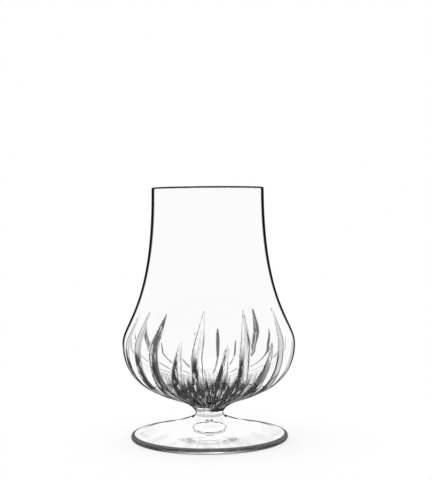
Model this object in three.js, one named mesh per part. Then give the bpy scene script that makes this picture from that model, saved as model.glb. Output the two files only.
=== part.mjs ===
// A stemmed tasting glass in clear crystal, made as such glasses are made: a blown tulip bowl with flutes
// cut round its belly, a short waisted stem and a pressed disc foot, welded together hot, face to face.
// Millimetres, +Z up, origin at the middle of the plane that the foot stands on. Flutes are counted round
// from the front (-Y) towards +X.
import * as THREE from 'three';

// Heights above the table
const GLASS_HEIGHT = 110;
const BELLY_HEIGHT = 42.1;
const FOOT_WELD_HEIGHT = 9.5;

// Bowl, outside
const RIM_DIAMETER = 49;
const BELLY_DIAMETER = 75.6;
const NECK_DRAW = 51.5;
const SHOULDER_ROUND = 9.3;
const BELLY_ROUND = 16;
const BOWL_BOTTOM_DIAMETER = 42.6;
const BOWL_BOTTOM_HEIGHT = 19.7;
const BOWL_BOTTOM_SLOPE = 24;
const BOWL_WELD_DIAMETER = 16.4;
const BOWL_WELD_SLOPE = 36;

// Bowl, inside
const RIM_WALL = 1.0;
const BELLY_WALL = 2.2;
const BASE_THICKNESS = 6;
const INSIDE_BELLY_ROUND = 13;
const INSIDE_BOTTOM_ROUND = 21.6;

// Flutes: round-bottomed cuts that open from a pointed tip, spread below the belly and run out above the
// stem. Each has its own tip, given by its height and how far it leans round the bowl, in degrees.
const FLUTE_HALF_WIDTH = 2.1;
const FLUTE_DEPTH = 0.9;
const FLUTE_TAPER = 17;
const FLUTE_SPREAD = 0.8;
const FLUTE_RIDGE = 0.15;
const FLUTE_END_HEIGHT = 15;
const FLUTE_FULL_HEIGHT = 21;
const FLUTE_FIRST_ANGLE = -7.5;
const FLUTE_TIPS = [
  [58, 4], [45, 4], [58, 4], [45, 7], [58, 6], [45, 4], [58, 4], [43, 4],
  [57, 2], [45, 1], [55, -2], [38, 2], [43, 1], [40, 3], [34, 2], [38, 2],
  [50, 4], [45, 4], [58, 4], [44, 4], [56, 4], [58, 2], [58, 5], [47, 5],
];

// Stem
const STEM_LENGTH = 4.8;
const WAIST_RISE = 1.8;
const WAIST_DIAMETER = 12;
const STEM_ROUND = 1.8;

// Foot
const FOOT_DIAMETER = 68.8;
const FOOT_WELD_DIAMETER = 15.5;
const FOOT_WELD_SLOPE = 20;
const FOOT_EDGE_THICKNESS = 2.4;
const FOOT_EDGE_ROUND = 1.2;
const FOOT_EDGE_SLOPE = 9;
const FOOT_FLARE = 4;
const FOOT_SPREAD = 12.6;
const FOOT_RING_WIDTH = 3.2;
const FOOT_HOLLOW = 3.6;
const FOOT_HOLLOW_CROWN = 0.35;
const FOOT_HOLLOW_SIDE = 0.6;

// Steps of the faceted surface
const COLUMNS_ACROSS_FLUTE = 5;
const COLUMNS_PER_FLUTE = COLUMNS_ACROSS_FLUTE + 1;
const NARROWEST_COLUMNS = 0.8;
const ROUND_COLUMNS = 60;
const NECK_STEPS = 10;
const BELLY_STEPS = 11;
const BOTTOM_STEPS = 4;
const LIP_STEPS = 4;
const INSIDE_NECK_STEPS = 6;
const INSIDE_BOTTOM_STEPS = 6;
const STEM_STEPS = 4;
const FOOT_TOP_STEPS = 8;
const FOOT_EDGE_STEPS = 4;
const FOOT_HOLLOW_STEPS = 6;

const BOWL_WELD_HEIGHT = FOOT_WELD_HEIGHT + STEM_LENGTH;
const WAIST_HEIGHT = FOOT_WELD_HEIGHT + WAIST_RISE;
const FLUTE_PITCH = 360 / FLUTE_TIPS.length;

const radians = THREE.MathUtils.degToRad;
const degrees = THREE.MathUtils.radToDeg;
const share = (value, start, end) => THREE.MathUtils.clamp((value - start) / (end - start), 0, 1);
const at = (radius, height) => new THREE.Vector2(radius, height);

// A point moved away from another by a length at a slope in degrees above the horizontal.
function along(point, length, slope) {
  return at(point.x + length * Math.cos(radians(slope)), point.y + length * Math.sin(radians(slope)));
}

// Points of a smooth outline between two ends, drawn towards a handle at each end.
function sweep(start, startHandle, endHandle, end, steps) {
  return new THREE.CubicBezierCurve(start, startHandle, endHandle, end).getPoints(steps);
}

// Points of a round edge in the outline: an ellipse about a centre, between two angles in degrees.
function roundEdge(centre, acrossRadius, upRadius, fromAngle, toAngle, steps) {
  const clockwise = toAngle < fromAngle;
  return new THREE.EllipseCurve(
    centre.x, centre.y, acrossRadius, upRadius, radians(fromAngle), radians(toAngle), clockwise,
  ).getPoints(steps);
}

// A solid turned about the Z axis, from an outline that starts and ends on the axis.
function turned(outline, columns, firstAngle = 0) {
  return new THREE.LatheGeometry(outline, columns, radians(firstAngle)).rotateX(Math.PI / 2);
}

function glass(name, geometry) {
  const material = new THREE.MeshStandardMaterial({ color: 0xf1f4f4, roughness: 0.02, metalness: 0 });
  const mesh = new THREE.Mesh(geometry, material);
  mesh.name = name;
  return mesh;
}

// The middle, half width and depth of a flute, counted from the front, where the bowl has a radius and a
// height.
function fluteAt(index, radius, height) {
  const turns = Math.floor(index / FLUTE_TIPS.length);
  const [tipHeight, lean] = FLUTE_TIPS[index - turns * FLUTE_TIPS.length];
  const opening = share(height, tipHeight, tipHeight - FLUTE_TAPER);
  const spread = 1 + FLUTE_SPREAD * share(height, BELLY_HEIGHT, BOWL_BOTTOM_HEIGHT) ** 2;
  const widest = (radius * radians(FLUTE_PITCH) - FLUTE_RIDGE) / 2;
  const halfWidth = Math.min(FLUTE_HALF_WIDTH * Math.sin(opening * Math.PI / 2) * spread, widest);
  const depth = FLUTE_DEPTH * Math.min(1, halfWidth / FLUTE_HALF_WIDTH);
  return {
    tipHeight,
    middle: FLUTE_FIRST_ANGLE + index * FLUTE_PITCH + lean * (1 - opening),
    halfWidth,
    reach: degrees(Math.max(halfWidth, NARROWEST_COLUMNS) / radius),
    depth: depth * share(height, FLUTE_END_HEIGHT, FLUTE_FULL_HEIGHT),
  };
}

// The angle of a column of the bowl's outside, in degrees, and how deep it is cut there. Most columns run
// across a flute, one runs on the wall between two flutes, and all are evenly spaced again at the rim.
function columnAt(column, radius, height, evenAngle) {
  const index = Math.floor(column / COLUMNS_PER_FLUTE);
  const place = column % COLUMNS_PER_FLUTE;
  const flute = fluteAt(index, radius, height);
  const across = 2 * place / (COLUMNS_ACROSS_FLUTE - 1) - 1;
  let angle = flute.middle + across * flute.reach;
  let depth = 0;
  if (place === COLUMNS_ACROSS_FLUTE) {
    const next = fluteAt(index + 1, radius, height);
    angle = (flute.middle + flute.reach + next.middle - next.reach) / 2;
  } else if (flute.depth > 0) {
    const fromMiddle = across * Math.max(flute.halfWidth, NARROWEST_COLUMNS) / flute.halfWidth;
    depth = flute.depth * Math.max(0, 1 - fromMiddle ** 2);
  }
  const even = THREE.MathUtils.smoothstep(height, flute.tipHeight, GLASS_HEIGHT);
  return { angle: THREE.MathUtils.lerp(angle, evenAngle, even), depth };
}

// Bowl: the outside runs up from the weld to the lip, the inside back down to the axis. The flutes are
// cut into the outside, square to its outline.
function makeBowl() {
  const weld = at(BOWL_WELD_DIAMETER / 2, BOWL_WELD_HEIGHT);
  const bottom = at(BOWL_BOTTOM_DIAMETER / 2, BOWL_BOTTOM_HEIGHT);
  const belly = at(BELLY_DIAMETER / 2, BELLY_HEIGHT);
  const lipRadius = RIM_WALL / 2;
  const lipMiddle = at(RIM_DIAMETER / 2 - lipRadius, GLASS_HEIGHT - lipRadius);
  const rim = at(RIM_DIAMETER / 2, lipMiddle.y);
  const handle = (bottom.x - weld.x) / 3;

  const outside = [
    ...sweep(weld, along(weld, handle, BOWL_WELD_SLOPE),
      along(bottom, -handle, BOWL_BOTTOM_SLOPE), bottom, BOTTOM_STEPS),
    ...sweep(bottom, along(bottom, handle, BOWL_BOTTOM_SLOPE),
      at(belly.x, belly.y - BELLY_ROUND), belly, BELLY_STEPS).slice(1),
    ...sweep(belly, at(belly.x, belly.y + SHOULDER_ROUND),
      at(rim.x, rim.y - NECK_DRAW), rim, NECK_STEPS).slice(1),
  ];
  const lip = roundEdge(lipMiddle, lipRadius, lipRadius, 0, 180, LIP_STEPS).slice(1);

  const insideRim = at(rim.x - RIM_WALL, rim.y);
  const insideBelly = at(belly.x - BELLY_WALL, BELLY_HEIGHT);
  const insideBottom = at(0, BOWL_WELD_HEIGHT + BASE_THICKNESS);
  const inside = [
    ...sweep(insideRim, at(insideRim.x, insideRim.y - NECK_DRAW),
      at(insideBelly.x, insideBelly.y + SHOULDER_ROUND), insideBelly, INSIDE_NECK_STEPS).slice(1),
    ...sweep(insideBelly, at(insideBelly.x, insideBelly.y - INSIDE_BELLY_ROUND),
      at(INSIDE_BOTTOM_ROUND, insideBottom.y), insideBottom, INSIDE_BOTTOM_STEPS).slice(1),
  ];

  const outline = [at(0, BOWL_WELD_HEIGHT), ...outside, ...lip, ...inside];
  const step = FLUTE_PITCH / COLUMNS_PER_FLUTE;
  const firstAngle = FLUTE_FIRST_ANGLE - step * (COLUMNS_ACROSS_FLUTE - 1) / 2;
  const geometry = turned(outline, FLUTE_TIPS.length * COLUMNS_PER_FLUTE, firstAngle);

  const place = geometry.getAttribute('position');
  for (let vertex = 0; vertex < place.count; vertex += 1) {
    const row = vertex % outline.length;
    const cutRow = row > 1 && row < outside.length;
    if (!cutRow) continue;
    const column = Math.floor(vertex / outline.length);
    const { x: fullRadius, y: fullHeight } = outline[row];
    const { angle, depth } = columnAt(column, fullRadius, fullHeight, firstAngle + column * step);
    const below = outline[row - 1];
    const above = outline[row + 1];
    const slope = Math.atan2(above.y - below.y, above.x - below.x);
    const radius = fullRadius - depth * Math.sin(slope);
    const height = fullHeight + depth * Math.cos(slope);
    place.setXYZ(vertex, radius * Math.sin(radians(angle)), -radius * Math.cos(radians(angle)), height);
  }
  geometry.computeVertexNormals();
  return glass('bowl', geometry);
}

// Stem: a short drawn button, waisted between its two weld faces.
function makeStem() {
  const foot = at(FOOT_WELD_DIAMETER / 2, FOOT_WELD_HEIGHT);
  const waist = at(WAIST_DIAMETER / 2, WAIST_HEIGHT);
  const bowl = at(BOWL_WELD_DIAMETER / 2, BOWL_WELD_HEIGHT);
  const lowerHandle = (foot.x - waist.x) / 2;
  const upperHandle = (bowl.x - waist.x) / 2;
  return glass('stem', turned([
    at(0, FOOT_WELD_HEIGHT),
    ...sweep(foot, along(foot, -lowerHandle, -FOOT_WELD_SLOPE),
      at(waist.x, waist.y - STEM_ROUND / 2), waist, STEM_STEPS),
    ...sweep(waist, at(waist.x, waist.y + STEM_ROUND / 2),
      along(bowl, -upperHandle, BOWL_WELD_SLOPE), bowl, STEM_STEPS).slice(1),
    at(0, BOWL_WELD_HEIGHT),
  ], ROUND_COLUMNS));
}

// Foot: a pressed disc that flares up to the weld, stands on a flat ring and is hollowed inside that ring.
function makeFoot() {
  const weld = at(FOOT_WELD_DIAMETER / 2, FOOT_WELD_HEIGHT);
  const edgeMiddle = at(FOOT_DIAMETER / 2 - FOOT_EDGE_ROUND, FOOT_EDGE_THICKNESS / 2);
  const edgeTop = at(edgeMiddle.x, FOOT_EDGE_THICKNESS);
  const ringInside = at(edgeMiddle.x - FOOT_RING_WIDTH, 0);
  const hollowTop = at(0, FOOT_HOLLOW);
  const hollowCrown = at(ringInside.x * FOOT_HOLLOW_CROWN, FOOT_HOLLOW);
  const hollowSide = at(ringInside.x * FOOT_HOLLOW_SIDE, FOOT_HOLLOW * (1 - FOOT_HOLLOW_SIDE));
  return glass('foot', turned([
    ...sweep(hollowTop, hollowCrown, hollowSide, ringInside, FOOT_HOLLOW_STEPS),
    ...roundEdge(edgeMiddle, FOOT_EDGE_ROUND, FOOT_EDGE_THICKNESS / 2, -90, 90, FOOT_EDGE_STEPS),
    ...sweep(edgeTop, along(edgeTop, -FOOT_SPREAD, -FOOT_EDGE_SLOPE),
      along(weld, FOOT_FLARE, -FOOT_WELD_SLOPE), weld, FOOT_TOP_STEPS).slice(1),
    at(0, FOOT_WELD_HEIGHT),
  ], ROUND_COLUMNS));
}

const tastingGlass = new THREE.Group();
tastingGlass.name = 'tasting_glass';
tastingGlass.add(makeBowl(), makeStem(), makeFoot());

export default tastingGlass;
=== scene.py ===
# A clear crystal tasting glass on white: a blown tulip bowl with cut flutes, a short waisted stem and a
# pressed disc foot, welded hot into one. Metres, +Z up, the foot stands on the origin's plane, -Y is the
# front.
import math

import bpy
import numpy as np
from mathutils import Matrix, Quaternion, Vector


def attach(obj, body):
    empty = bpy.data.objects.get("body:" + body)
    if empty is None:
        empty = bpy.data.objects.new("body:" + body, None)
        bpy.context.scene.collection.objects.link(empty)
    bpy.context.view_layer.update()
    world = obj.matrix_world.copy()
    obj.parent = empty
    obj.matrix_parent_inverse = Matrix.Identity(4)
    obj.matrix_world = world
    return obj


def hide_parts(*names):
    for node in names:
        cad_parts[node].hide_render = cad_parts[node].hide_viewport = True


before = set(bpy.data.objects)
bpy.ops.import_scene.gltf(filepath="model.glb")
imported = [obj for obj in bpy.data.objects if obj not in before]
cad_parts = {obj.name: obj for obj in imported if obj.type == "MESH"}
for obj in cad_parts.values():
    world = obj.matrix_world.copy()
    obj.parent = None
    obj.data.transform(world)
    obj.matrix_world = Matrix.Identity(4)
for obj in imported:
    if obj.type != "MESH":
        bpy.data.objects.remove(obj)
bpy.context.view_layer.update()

# Camera. It stands a little lower than the rim, about half a metre off, so the mouth closes to a line and
# the foot opens to an ellipse. The glass leans a hair to the left in the picture.
scene = bpy.context.scene
mm = 0.001
camera_away = 470 * mm
camera_height = 99 * mm
camera_target = Vector((3.49 * mm, 0, 86.95 * mm))
camera_roll = math.radians(-0.46)
camera_lens = 80.54
camera_sensor = 36

camera_data = bpy.data.cameras.new("photo_camera")
camera_data.lens = camera_lens
camera_data.sensor_width = camera_sensor
camera = bpy.data.objects.new("photo_camera", camera_data)
camera.location = (0, -camera_away, camera_height)
camera.rotation_mode = "QUATERNION"
camera.rotation_quaternion = (
    (camera_target - camera.location).to_track_quat("-Z", "Y") @ Quaternion((0, 0, 1), camera_roll)
)
scene.collection.objects.link(camera)
scene.camera = camera
scene.view_settings.view_transform = "Standard"


# Floor and background. A wide sheet of matt white board that runs out into plain white. Round the foot it
# keeps the glass's own soft shadow, and through the glass it shows as plain white.
class Shade:
    """A socket in a node tree. Arithmetic on it adds Math nodes, and node() adds any other node."""

    def __init__(self, tree, socket=None):
        self.tree = tree
        self.socket = socket

    def node(self, kind, settings=None, inputs=None, output=0):
        made = self.tree.nodes.new(kind)
        for name, setting in (settings or {}).items():
            setattr(made, name, setting)
        for name, given in (inputs or {}).items():
            if isinstance(given, Shade):
                self.tree.links.new(given.socket, made.inputs[name])
            else:
                made.inputs[name].default_value = given
        return Shade(self.tree, made.outputs[output] if made.outputs else None)

    def maths(self, operation, first, second):
        return self.node("ShaderNodeMath", {"operation": operation}, {0: first, 1: second})

    def __add__(self, other):
        return self.maths("ADD", self, other)

    def __radd__(self, other):
        return self.maths("ADD", other, self)

    def __sub__(self, other):
        return self.maths("SUBTRACT", self, other)

    def __rsub__(self, other):
        return self.maths("SUBTRACT", other, self)

    def __mul__(self, other):
        return self.maths("MULTIPLY", self, other)

    def __rmul__(self, other):
        return self.maths("MULTIPLY", other, self)


def new_tree(owner):
    """The empty node tree of a material or a world."""
    owner.use_nodes = True
    owner.node_tree.nodes.clear()
    return Shade(owner.node_tree)


def smooth(tree, value, start, end):
    """0 before start, 1 after end, and a smooth rise between them."""
    return tree.node("ShaderNodeMapRange", {"interpolation_type": "SMOOTHSTEP"},
                     {"Value": value, "From Min": start, "From Max": end})


def most(tree, *values):
    """The largest of several values."""
    largest = values[0]
    for value in values[1:]:
        largest = tree.maths("MAXIMUM", largest, value)
    return largest


def seen_by(tree, *rays):
    """1 where any of the named kinds of ray arrives."""
    return most(tree, *[tree.node("ShaderNodeLightPath", output=ray) for ray in rays])


def place_on(tree):
    """Where a point of the surface is."""
    return tree.node("ShaderNodeNewGeometry", output="Position")


floor_reach = 4.0
floor_white = (0.9, 0.9, 0.9, 1)
plain_white = (1, 1, 1, 1)
shadow_reach = (45 * mm, 90 * mm)
shadow_fill = 0.6
room_light = 0.62

floor_mesh = bpy.data.meshes.new("floor")
floor_mesh.from_pydata(
    [(-floor_reach, -floor_reach, 0), (floor_reach, -floor_reach, 0),
     (floor_reach, floor_reach, 0), (-floor_reach, floor_reach, 0)], [], [(0, 1, 2, 3)])
floor = bpy.data.objects.new("floor", floor_mesh)
scene.collection.objects.link(floor)

white_board = bpy.data.materials.new("white_board")
floor_mesh.materials.append(white_board)
tree = new_tree(white_board)
away = tree.node("ShaderNodeVectorMath", {"operation": "LENGTH"}, {0: place_on(tree)}, "Value")
plain = shadow_fill + (1 - shadow_fill) * smooth(tree, away, *shadow_reach)
plain = plain * seen_by(tree, "Is Camera Ray")
plain = most(tree, plain, seen_by(tree, "Is Glossy Ray", "Is Transmission Ray"))
board = tree.node("ShaderNodeBsdfDiffuse", None, {"Color": floor_white})
white = tree.node("ShaderNodeEmission", None, {"Color": plain_white, "Strength": 1.0})
mixed = tree.node("ShaderNodeMixShader", None, {0: plain, 1: board, 2: white})
tree.node("ShaderNodeOutputMaterial", None, {"Surface": mixed})

room = bpy.data.worlds.new("white_room")
scene.world = room
tree = new_tree(room)
plain = seen_by(tree, "Is Camera Ray", "Is Glossy Ray", "Is Transmission Ray")
lighting = tree.node("ShaderNodeBackground", None, {"Color": plain_white, "Strength": room_light})
white = tree.node("ShaderNodeBackground", None, {"Color": plain_white, "Strength": 1.0})
mixed = tree.node("ShaderNodeMixShader", None, {0: plain, 1: lighting, 2: white})
tree.node("ShaderNodeOutputWorld", None, {"Surface": mixed})


# Lamp. One wide soft box overhead, a little behind the glass and to its left. It throws the soft shadow
# round the foot.
lamp_width = 1.4
lamp_depth = 1.0
lamp_power = 16
lamp_place = Vector((-0.3, 0.35, 1.5))
lamp_target = Vector((0, 0, 0.05))

lamp_data = bpy.data.lights.new("soft_box", "AREA")
lamp_data.shape = "RECTANGLE"
lamp_data.size = lamp_width
lamp_data.size_y = lamp_depth
lamp_data.energy = lamp_power
lamp = bpy.data.objects.new("soft_box", lamp_data)
lamp.location = lamp_place
lamp.rotation_mode = "QUATERNION"
lamp.rotation_quaternion = (lamp_target - lamp_place).to_track_quat("-Z", "Y")
scene.collection.objects.link(lamp)


# Bowl. Blown clear crystal: a tulip, thin at the fire-polished lip and thick at the base, where it is welded
# to the stem. Pointed flutes are cut into its lower half from the outside, tall and short by turns. Its
# outline, lip, thick base and cuts are painted dark: painted shade in place of the dark that real glass bends
# in from round it, with painted light streaks through it.
glass_height = 110 * mm
belly_height = 42.1 * mm
bowl_weld_height = 14.3 * mm
rim_radius = 24.5 * mm
belly_radius = 37.8 * mm
neck_draw = 51.5 * mm
shoulder_round = 9.3 * mm
belly_round = 16 * mm
bottom_radius = 21.3 * mm
bottom_height = 19.7 * mm
bottom_slope = 24
bowl_weld_radius = 8.2 * mm
bowl_weld_slope = 36
rim_wall = 1.0 * mm
belly_wall = 2.2 * mm
base_thickness = 6 * mm
inside_belly_round = 13 * mm
inside_bottom_round = 21.6 * mm

flute_half_width = 2.1 * mm
flute_cut_depth = 0.9 * mm
flute_taper = 17 * mm
flute_spread = 0.8
flute_first_angle = -7.5
flute_ridge = 0.15 * mm
flute_run_out = (15 * mm, 21 * mm)
# The height of each flute's tip in millimetres and how far it leans round in degrees, from the front
flute_tips = [
    (58, 4), (45, 4), (58, 4), (45, 7), (58, 6), (45, 4), (58, 4), (43, 4),
    (57, 2), (45, 1), (55, -2), (38, 2), (43, 1), (40, 3), (34, 2), (38, 2),
    (50, 4), (45, 4), (58, 4), (44, 4), (56, 4), (58, 2), (58, 5), (47, 5),
]

# Fineness of the mesh: columns round the bowl, and rows along each stretch of its outline
columns_per_flute = 20
bottom_rows = 24
belly_rows = 80
neck_rows = 40
lip_rows = 8
inside_neck_rows = 22
inside_belly_rows = 30

clear_tint = (0.978, 0.978, 0.978, 1)
# Black painted over the clear glass as painted shade
painted_shade_tint = (0.01, 0.01, 0.01, 1)
shadow_tint = (0.9, 0.9, 0.9, 1)
crystal_bend = 1.52
blown_waves = 90
blown_wave = 0.03 * mm

# Shares of painted shade and of painted light, and the ranges over which each comes on. A turn is 0 where the
# glass faces the eye and 1 where it is edge on. A place in a cut is 0 at its rim and 1 in its middle, or goes
# from -1 at its left side to 1 at its right.
even_blend = 0.5
outline_turn = (0.65, 0.72)
outline_thinner = 0.13
outline_thin_heights = (22 * mm, 100 * mm)
lip_height = 1.0 * mm
streak_count = 40
streak_length = 190
streak_detail = 3.0
streak_rise = 16 * mm
streak_middle = 0.5
streak_painted_light = 0.68
streak_shades = (0.55, 0.64)
base_dark = 0.95
base_heights = (26.5 * mm, 34.5 * mm)
base_turn = (0.08, 0.33)
cut_rim = 0.15
cut_edge_dark = 0.8
cut_edge_start = 0.05
cut_edge_end = (0.1, 0.25)
cut_middle_dark = 0.4
cut_middle = (0.84, 0.95)
cut_low_dark = 0.95
cut_low_heights = (25 * mm, 34 * mm)
cut_left = (-0.05, 0.4)
cut_left_heights = (36 * mm, 45 * mm)
cut_aside_dark = 0.85
cut_aside_turn = (0.1, 0.17)
cut_far_aside_dark = 0.34
cut_far_aside_turn = (0.26, 0.36)
far_cut_dark = 0.95
far_cut_turn = (0.4, 0.65)
far_cut_heights = (15 * mm, 19 * mm)
far_cut_narrower = 0.75
far_cut_narrow_heights = (28 * mm, 42 * mm)
far_streak_painted_light = 0.5

# The faces of a piece: bare glass, a weld, and the inside of the bowl
glass_kind, weld_kind, inside_kind = 0, 1, 2


def along(point, length, slope):
    """A point moved off another by a length, at a slope in degrees above the level."""
    turn = math.radians(slope)
    return point[0] + length * math.cos(turn), point[1] + length * math.sin(turn)


def sweep(start, start_handle, end_handle, end, rows):
    """Points of a smooth outline between two ends, drawn towards a handle at each end."""
    share = np.linspace(0, 1, rows + 1)[:, None]
    rest = 1 - share
    ends = rest ** 3 * np.array(start) + share ** 3 * np.array(end)
    return ends + 3 * rest * share * (rest * np.array(start_handle) + share * np.array(end_handle))


def round_edge(middle, across, up, first, last, rows):
    """Points of a round edge: an ellipse about its middle, between two angles in degrees."""
    angles = np.radians(np.linspace(first, last, rows + 1))
    return np.column_stack((middle[0] + across * np.cos(angles), middle[1] + up * np.sin(angles)))


def flutes(angles, radius, height):
    """How deep the flutes cut in at each angle round the bowl, in degrees from the front, how far inside
    a cut that is, from 0 at its rim to 1 in its middle, and on which side of it, from -1 to 1."""
    pitch = 360 / len(flute_tips)
    widest = (radius * math.radians(pitch) - flute_ridge) / 2
    below_belly = np.interp(height, (bottom_height, belly_height), (1, 0))
    run_out = np.interp(height, flute_run_out, (0, 1))
    inside = np.zeros_like(angles)
    side = np.zeros_like(angles)
    depth = np.zeros_like(angles)
    for index, (tip, lean) in enumerate(flute_tips):
        below_tip = tip * mm - height
        if below_tip <= 0:
            continue
        opening = min(1, below_tip / flute_taper)
        half_width = flute_half_width * math.sin(opening * math.pi / 2)
        half_width = min(half_width * (1 + flute_spread * below_belly ** 2), widest)
        middle = flute_first_angle + index * pitch + lean * (1 - opening)
        across = radius * np.radians((angles - middle + 180) % 360 - 180) / half_width
        side = np.where(1 - np.abs(across) > inside, across, side)
        inside = np.maximum(inside, 1 - np.abs(across))
        deepest = flute_cut_depth * min(1, half_width / flute_half_width)
        depth = np.maximum(depth, (1 - across ** 2) * deepest)
    return depth * run_out, inside, side


def turned(name, materials, outline, columns, kinds, cut_rows=()):
    """A closed glass body turned about Z from an outline that starts and ends on the axis. kinds gives the
    material of each row of faces, and cut_rows are the outline's points that the flutes cut into."""
    angles = np.arange(columns) * 360 / columns
    sine, cosine = np.sin(np.radians(angles)), np.cos(np.radians(angles))
    rings = []
    insides = []
    sides = []
    for row in range(1, len(outline) - 1):
        depth, inside, side = np.zeros((3, columns))
        if row in cut_rows:
            depth, inside, side = flutes(angles, *outline[row])
        rise = outline[row + 1] - outline[row - 1]
        rise = rise / np.linalg.norm(rise)
        radius = outline[row][0] - depth * rise[1]
        height = outline[row][1] + depth * rise[0]
        rings.append(np.column_stack((radius * sine, -radius * cosine, height)))
        insides.append(inside)
        sides.append(side)
    points = np.vstack([(0, 0, outline[0][1]), *rings, (0, 0, outline[-1][1])])

    here = np.arange(columns)
    there = (here + 1) % columns
    faces = [(0, a, b) for a, b in (1 + np.column_stack((here, there))).tolist()]
    for row in range(len(rings) - 1):
        low = 1 + row * columns
        high = low + columns
        faces += np.column_stack((low + here, low + there, high + there, high + here)).tolist()
    top = 1 + (len(rings) - 1) * columns
    faces += [(a, b, len(points) - 1) for a, b in (top + np.column_stack((here, there))).tolist()]

    mesh = bpy.data.meshes.new(name)
    mesh.from_pydata(points.tolist(), [], faces)
    for material in materials:
        mesh.materials.append(material)
    mesh.polygons.foreach_set("material_index", np.repeat(kinds, columns).tolist())
    mesh.polygons.foreach_set("use_smooth", [True] * len(faces))
    for attribute, values in (("flute", insides), ("flute_side", sides)):
        data = mesh.attributes.new(attribute, "FLOAT", "POINT").data
        data.foreach_set("value", np.concatenate([[0], *values, [0]]))

    # The rim of a weld is sharp, and every other edge is smooth
    edge_kinds = {}
    for face in mesh.polygons:
        for edge in face.edge_keys:
            edge_kinds.setdefault(edge, set()).add(face.material_index)
    for edge in mesh.edges:
        edge.use_edge_sharp = weld_kind in edge_kinds[edge.key] and len(edge_kinds[edge.key]) > 1
    mesh.update()
    piece = bpy.data.objects.new(name, mesh)
    scene.collection.objects.link(piece)
    return piece


def crystal(name, painted_shade=None, wave=None):
    """Clear crystal. Its second argument gives the share of it, at each point, that is painted black as
    painted shade, and wave the faint waves in its surface. Most of the lamp's light goes through it to the
    floor."""
    material = bpy.data.materials.new(name)
    tree = new_tree(material)
    finish = {"Base Color": clear_tint, "Roughness": 0.0, "IOR": crystal_bend, "Transmission Weight": 1.0}
    if wave:
        finish["Normal"] = wave(tree)
    surface = tree.node("ShaderNodeBsdfPrincipled", None, finish)
    # Painted shade: black mixed in over the clear glass
    if painted_shade:
        dark = tree.node("ShaderNodeBsdfDiffuse", None, {"Color": painted_shade_tint})
        surface = tree.node("ShaderNodeMixShader", None, {0: painted_shade(tree), 1: surface, 2: dark})
    shaded = tree.node("ShaderNodeBsdfTransparent", None, {"Color": shadow_tint})
    mixed = tree.node("ShaderNodeMixShader", None, {0: seen_by(tree, "Is Shadow Ray"), 1: surface, 2: shaded})
    tree.node("ShaderNodeOutputMaterial", None, {"Surface": mixed})
    return material


def from_outside(tree):
    """1 where the ray meets the surface from outside the glass, 0 where it comes from within."""
    return 1 - tree.node("ShaderNodeNewGeometry", output="Backfacing")


def height_on(tree):
    """How high a point is above the table."""
    return tree.node("ShaderNodeSeparateXYZ", None, {0: place_on(tree)}, "Z")


def level_on(tree):
    """The way from the axis to a point, on the level."""
    return tree.node("ShaderNodeVectorMath", {"operation": "MULTIPLY"}, {0: place_on(tree), 1: (1, 1, 0)})


def outward_on(tree):
    """The same way, one long."""
    return tree.node("ShaderNodeVectorMath", {"operation": "NORMALIZE"}, {0: level_on(tree)})


def surface_turn(tree):
    """How far the surface is turned from the eye."""
    return tree.node("ShaderNodeLayerWeight", None, {"Blend": even_blend}, "Facing")


def wall_turn(tree):
    """How far an upright wall at that point, without cuts or slope, is turned from the eye."""
    return tree.node("ShaderNodeLayerWeight", None, {
        "Blend": even_blend, "Normal": outward_on(tree)}, "Facing")


def streaks_on(tree):
    """Fine streaks that run up the glass, drawn together towards the stem."""
    rise = tree.node("ShaderNodeCombineXYZ", None, {"Z": height_on(tree) * streak_length})
    around = tree.node("ShaderNodeVectorMath", {"operation": "SCALE"}, {
        0: outward_on(tree), "Scale": streak_count})
    place = tree.node("ShaderNodeVectorMath", {"operation": "ADD"}, {0: around, 1: rise})
    return tree.node("ShaderNodeTexNoise", None, {
        "Vector": place, "Scale": 1.0, "Detail": streak_detail}, "Fac")


def relief(tree, height, depth):
    """Relief for a shader's Normal, as deep as given where the height goes from 0 to 1."""
    return tree.node("ShaderNodeBump", None, {"Height": height, "Distance": depth, "Strength": 1.0})


def bowl_painted_shade(tree):
    """Painted shade: dark outline, lip and base, and the cuts: edges, middles, low down, aside and on the
    far side.
    """
    outer = from_outside(tree)
    height = height_on(tree)
    turn = surface_turn(tree)
    lower = 1 - smooth(tree, height, *outline_thin_heights)
    outline = smooth(tree, turn - outline_thinner * lower, *outline_turn)
    lip = smooth(tree, height, glass_height - lip_height, glass_height - lip_height / 2)

    streaks = streaks_on(tree)
    # Painted light: streaks where the painted shade is thinned to light
    painted_light_streaks = smooth(tree, streaks, *streak_shades)
    ragged = height + streak_rise * (streaks - streak_middle)
    aside = wall_turn(tree)
    base = base_dark * (1 - smooth(tree, ragged, *base_heights)) * (1 - smooth(tree, aside, *base_turn))

    inside = tree.node("ShaderNodeAttribute", {"attribute_name": "flute"}, output="Fac")
    side = tree.node("ShaderNodeAttribute", {"attribute_name": "flute_side"}, output="Fac")
    cut = smooth(tree, inside, 0.0, cut_rim)
    edge = smooth(tree, inside, 0.0, cut_edge_start) * (1 - smooth(tree, inside, *cut_edge_end))
    middle = cut_middle_dark * smooth(tree, inside, *cut_middle)
    left = (1 - smooth(tree, side, *cut_left)) * (1 - smooth(tree, ragged, *cut_left_heights))
    low = cut_low_dark * most(tree, left, 1 - smooth(tree, ragged, *cut_low_heights))
    lighter = (cut_aside_dark - cut_far_aside_dark) * smooth(tree, aside, *cut_far_aside_turn)
    turned_cut = smooth(tree, aside, *cut_aside_turn) * (cut_aside_dark - lighter)
    streaked = most(tree, base, middle, cut * most(tree, low, turned_cut)) * (1 - streak_painted_light * painted_light_streaks)
    near = most(tree, outline, lip, cut_edge_dark * edge, streaked)

    narrower = far_cut_narrower * (1 - smooth(tree, height, *far_cut_narrow_heights))
    far = far_cut_dark * smooth(tree, inside - narrower, 0.0, cut_rim)
    far = far * (1 - smooth(tree, turn, *far_cut_turn)) * smooth(tree, height, *far_cut_heights)
    far = far * (1 - far_streak_painted_light * painted_light_streaks)
    return outer * near + (1 - outer) * far


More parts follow.
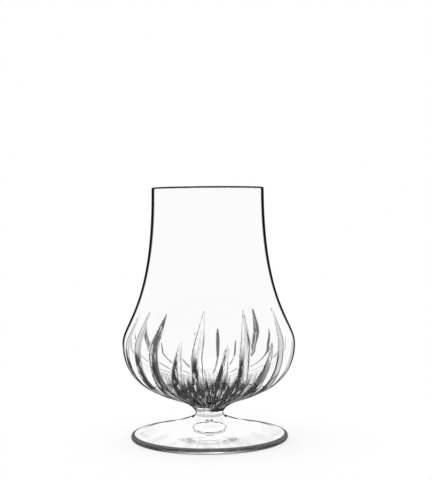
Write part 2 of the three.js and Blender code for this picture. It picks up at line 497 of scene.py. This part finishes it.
def blown_relief(tree):
    """The slow waves that blowing leaves inside."""
    waves = tree.node("ShaderNodeTexNoise", None, {
        "Vector": place_on(tree), "Scale": blown_waves, "Detail": 1.0}, "Fac")
    return relief(tree, waves, blown_wave)


bowl_outside_crystal = crystal("bowl_outside_crystal", bowl_painted_shade)
bowl_inside_crystal = crystal("bowl_inside_crystal", wave=blown_relief)

# The faces of a weld don't show, since the glass has run together there
weld_glass = bpy.data.materials.new("weld_glass")
tree = new_tree(weld_glass)
joined = tree.node("ShaderNodeBsdfPrincipled", None, {"Base Color": plain_white, "Alpha": 0.0})
tree.node("ShaderNodeOutputMaterial", None, {"Surface": joined})

weld = (bowl_weld_radius, bowl_weld_height)
bottom = (bottom_radius, bottom_height)
belly = (belly_radius, belly_height)
rim = (rim_radius, glass_height - rim_wall / 2)
bottom_handle = (bottom_radius - bowl_weld_radius) / 3
outside = np.vstack([
    sweep(weld, along(weld, bottom_handle, bowl_weld_slope),
          along(bottom, -bottom_handle, bottom_slope), bottom, bottom_rows),
    sweep(bottom, along(bottom, bottom_handle, bottom_slope),
          (belly_radius, belly_height - belly_round), belly, belly_rows)[1:],
    sweep(belly, (belly_radius, belly_height + shoulder_round),
          (rim_radius, rim[1] - neck_draw), rim, neck_rows)[1:],
])
lip = round_edge((rim_radius - rim_wall / 2, rim[1]), rim_wall / 2, rim_wall / 2, 0, 180, lip_rows)[1:]
inside_rim = (rim_radius - rim_wall, rim[1])
inside_belly = (belly_radius - belly_wall, belly_height)
inside_bottom = (0, bowl_weld_height + base_thickness)
inside = np.vstack([
    sweep(inside_rim, (inside_rim[0], inside_rim[1] - neck_draw),
          (inside_belly[0], belly_height + shoulder_round), inside_belly, inside_neck_rows)[1:],
    sweep(inside_belly, (inside_belly[0], belly_height - inside_belly_round),
          (inside_bottom_round, inside_bottom[1]), inside_bottom, inside_belly_rows)[1:],
])
bowl_outline = np.vstack([(0, bowl_weld_height), outside, lip, inside])
bowl_kinds = [weld_kind] + [glass_kind] * (len(outside) - 1 + len(lip)) + [inside_kind] * len(inside)
bowl = turned("crystal_bowl", [bowl_outside_crystal, weld_glass, bowl_inside_crystal], bowl_outline,
              columns_per_flute * len(flute_tips), bowl_kinds, range(2, len(outside)))
# Mirror reflections leave the bowl out, so that the foot shows the plain white of the room
bowl.visible_glossy = False
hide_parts("bowl")
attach(bowl, "root")


# Stem. A short button of solid crystal, drawn in to a waist while hot, between the welds to bowl and foot.
# Its outline and its top are painted dark, more on the right: painted shade that carries the bowl's painted
# base on into the stem.
waist_radius = 6.0 * mm
waist_height = 11.3 * mm
stem_round = 1.8 * mm
foot_weld_radius = 7.75 * mm
foot_weld_height = 9.5 * mm
foot_weld_slope = 20
stem_columns = 240
stem_rows = 14
# Where the stem's outline and top are painted dark as painted shade, and how dark
stem_outline_turn = (0.62, 0.74)
stem_top_heights = (11.9 * mm, 12.4 * mm)
stem_top_dark = 0.6
stem_top_right_dark = 0.37
stem_top_right = (-0.2, 0.2)
drawn_line = 0.002 * mm


def stem_painted_shade(tree):
    """Painted shade: dark outline, and the painted dark of the base carried on in the top."""
    outline = smooth(tree, surface_turn(tree), *stem_outline_turn)
    right = tree.node("ShaderNodeSeparateXYZ", None, {0: outward_on(tree)}, "X")
    top = smooth(tree, height_on(tree), *stem_top_heights)
    top = top * (stem_top_dark + stem_top_right_dark * smooth(tree, right, *stem_top_right))
    return from_outside(tree) * most(tree, outline, top)


def drawn_relief(tree):
    """Faint lines up the stem, from the drawing."""
    return relief(tree, streaks_on(tree), drawn_line)


stem_crystal = crystal("stem_crystal", stem_painted_shade, drawn_relief)

foot_weld = (foot_weld_radius, foot_weld_height)
waist = (waist_radius, waist_height)
stem_outline = np.vstack([
    (0, foot_weld_height),
    sweep(foot_weld, along(foot_weld, -(foot_weld_radius - waist_radius) / 2, -foot_weld_slope),
          (waist_radius, waist_height - stem_round / 2), waist, stem_rows),
    sweep(waist, (waist_radius, waist_height + stem_round / 2),
          along(weld, -(bowl_weld_radius - waist_radius) / 2, bowl_weld_slope), weld, stem_rows)[1:],
    (0, bowl_weld_height),
])
stem_kinds = [weld_kind] + [glass_kind] * (len(stem_outline) - 3) + [weld_kind]
stem = turned("crystal_stem", [stem_crystal, weld_glass], stem_outline, stem_columns, stem_kinds)
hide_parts("stem")
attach(stem, "root")


# Foot. A disc pressed from crystal, flared up to the stem's weld, with a round edge that is painted dark as
# painted shade. It stands on a flat ring and is hollowed inside it to a shallow cone, as the top is.
foot_radius = 34.4 * mm
foot_edge_thickness = 2.4 * mm
foot_edge_round = 1.2 * mm
foot_edge_slope = 9
foot_flare = 4 * mm
foot_spread = 12.6 * mm
foot_ring_width = 3.2 * mm
foot_hollow = 3.6 * mm
foot_hollow_crown = 0.35
foot_hollow_side = 0.6
foot_columns = 240
hollow_rows = 24
foot_edge_rows = 16
foot_top_rows = 40

# Shares of painted shade and of painted light on the foot, and the ranges over which each comes on
foot_dark = 0.87
foot_inside_light = 0.42
foot_edge_radii = (foot_radius - 1.9 * mm, foot_radius - 1.3 * mm)
foot_painted_light_stripe = 0.6
foot_stripe_turn = (0.03, 0.25)
foot_stripe_low = (0.3 * mm, 0.6 * mm)
foot_stripe_high = (0.9 * mm, 1.3 * mm)
foot_outline_turn = (0.78, 0.82)
foot_outline_thinner = 0.155
foot_flare_radii = (9 * mm, 16 * mm)
foot_far_rim_radii = (foot_radius - 8 * mm, foot_radius - 5 * mm)
foot_far_rim_turn = (0.85, 0.93)
press_waves = 7.0
press_wave_detail = 2.0
press_wave_radii = (14 * mm, 26 * mm)
press_wave = 0.05 * mm
press_wave_painted_shade = 0.12
press_wave_shades = (0.4, 0.62)


def out_on(tree):
    """How far out from the axis a point is."""
    return tree.node("ShaderNodeVectorMath", {"operation": "LENGTH"}, {0: level_on(tree)}, "Value")


def press_waves_on(tree):
    """Faint waves that the press left, running out to the edge."""
    waves = tree.node("ShaderNodeTexNoise", None, {
        "Vector": outward_on(tree), "Scale": press_waves, "Detail": press_wave_detail}, "Fac")
    return waves * smooth(tree, out_on(tree), *press_wave_radii)


def foot_painted_shade(tree):
    """Painted shade: dark round edge with a painted light stripe low in its front, dark outline of the top,
    and faint grey waves.
    """
    out = out_on(tree)
    height = height_on(tree)
    turn = surface_turn(tree)
    outer = from_outside(tree)
    front = 1 - smooth(tree, wall_turn(tree), *foot_stripe_turn)
    # Painted light: a lighter stripe low in the front of the painted dark edge
    painted_stripe = smooth(tree, height, *foot_stripe_low) * (1 - smooth(tree, height, *foot_stripe_high))
    edge = smooth(tree, out, *foot_edge_radii)
    edge = edge * (1 - foot_inside_light * (1 - outer)) * (1 - foot_painted_light_stripe * front * painted_stripe)
    far_rim = smooth(tree, turn, *foot_far_rim_turn) * smooth(tree, out, *foot_far_rim_radii)
    thinner = foot_outline_thinner * smooth(tree, out, *foot_flare_radii)
    outline = most(tree, far_rim, smooth(tree, turn - thinner, *foot_outline_turn))
    # Painted shade: faint grey waves over the foot
    waves = press_wave_painted_shade * smooth(tree, press_waves_on(tree), *press_wave_shades)
    return most(tree, foot_dark * edge, outer * most(tree, foot_dark * outline, waves))


def press_relief(tree):
    """The same waves in the surface."""
    return relief(tree, press_waves_on(tree), press_wave)


foot_crystal = crystal("foot_crystal", foot_painted_shade, press_relief)

edge_middle = (foot_radius - foot_edge_round, foot_edge_thickness / 2)
edge_top = (edge_middle[0], foot_edge_thickness)
ring_inside = (edge_middle[0] - foot_ring_width, 0)
foot_outline = np.vstack([
    sweep((0, foot_hollow), (ring_inside[0] * foot_hollow_crown, foot_hollow),
          (ring_inside[0] * foot_hollow_side, foot_hollow * (1 - foot_hollow_side)),
          ring_inside, hollow_rows),
    round_edge(edge_middle, foot_edge_round, foot_edge_thickness / 2, -90, 90, foot_edge_rows),
    sweep(edge_top, along(edge_top, -foot_spread, -foot_edge_slope),
          along(foot_weld, foot_flare, -foot_weld_slope), foot_weld, foot_top_rows)[1:],
    (0, foot_weld_height),
])
foot_kinds = [glass_kind] * (len(foot_outline) - 2) + [weld_kind]
foot = turned("crystal_foot", [foot_crystal, weld_glass], foot_outline, foot_columns, foot_kinds)
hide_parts("foot")
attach(foot, "root")

# Light passes many walls of glass before it reaches the eye
scene.cycles.max_bounces = 32
scene.cycles.transmission_bounces = 32
scene.cycles.glossy_bounces = 16
scene.cycles.transparent_max_bounces = 32
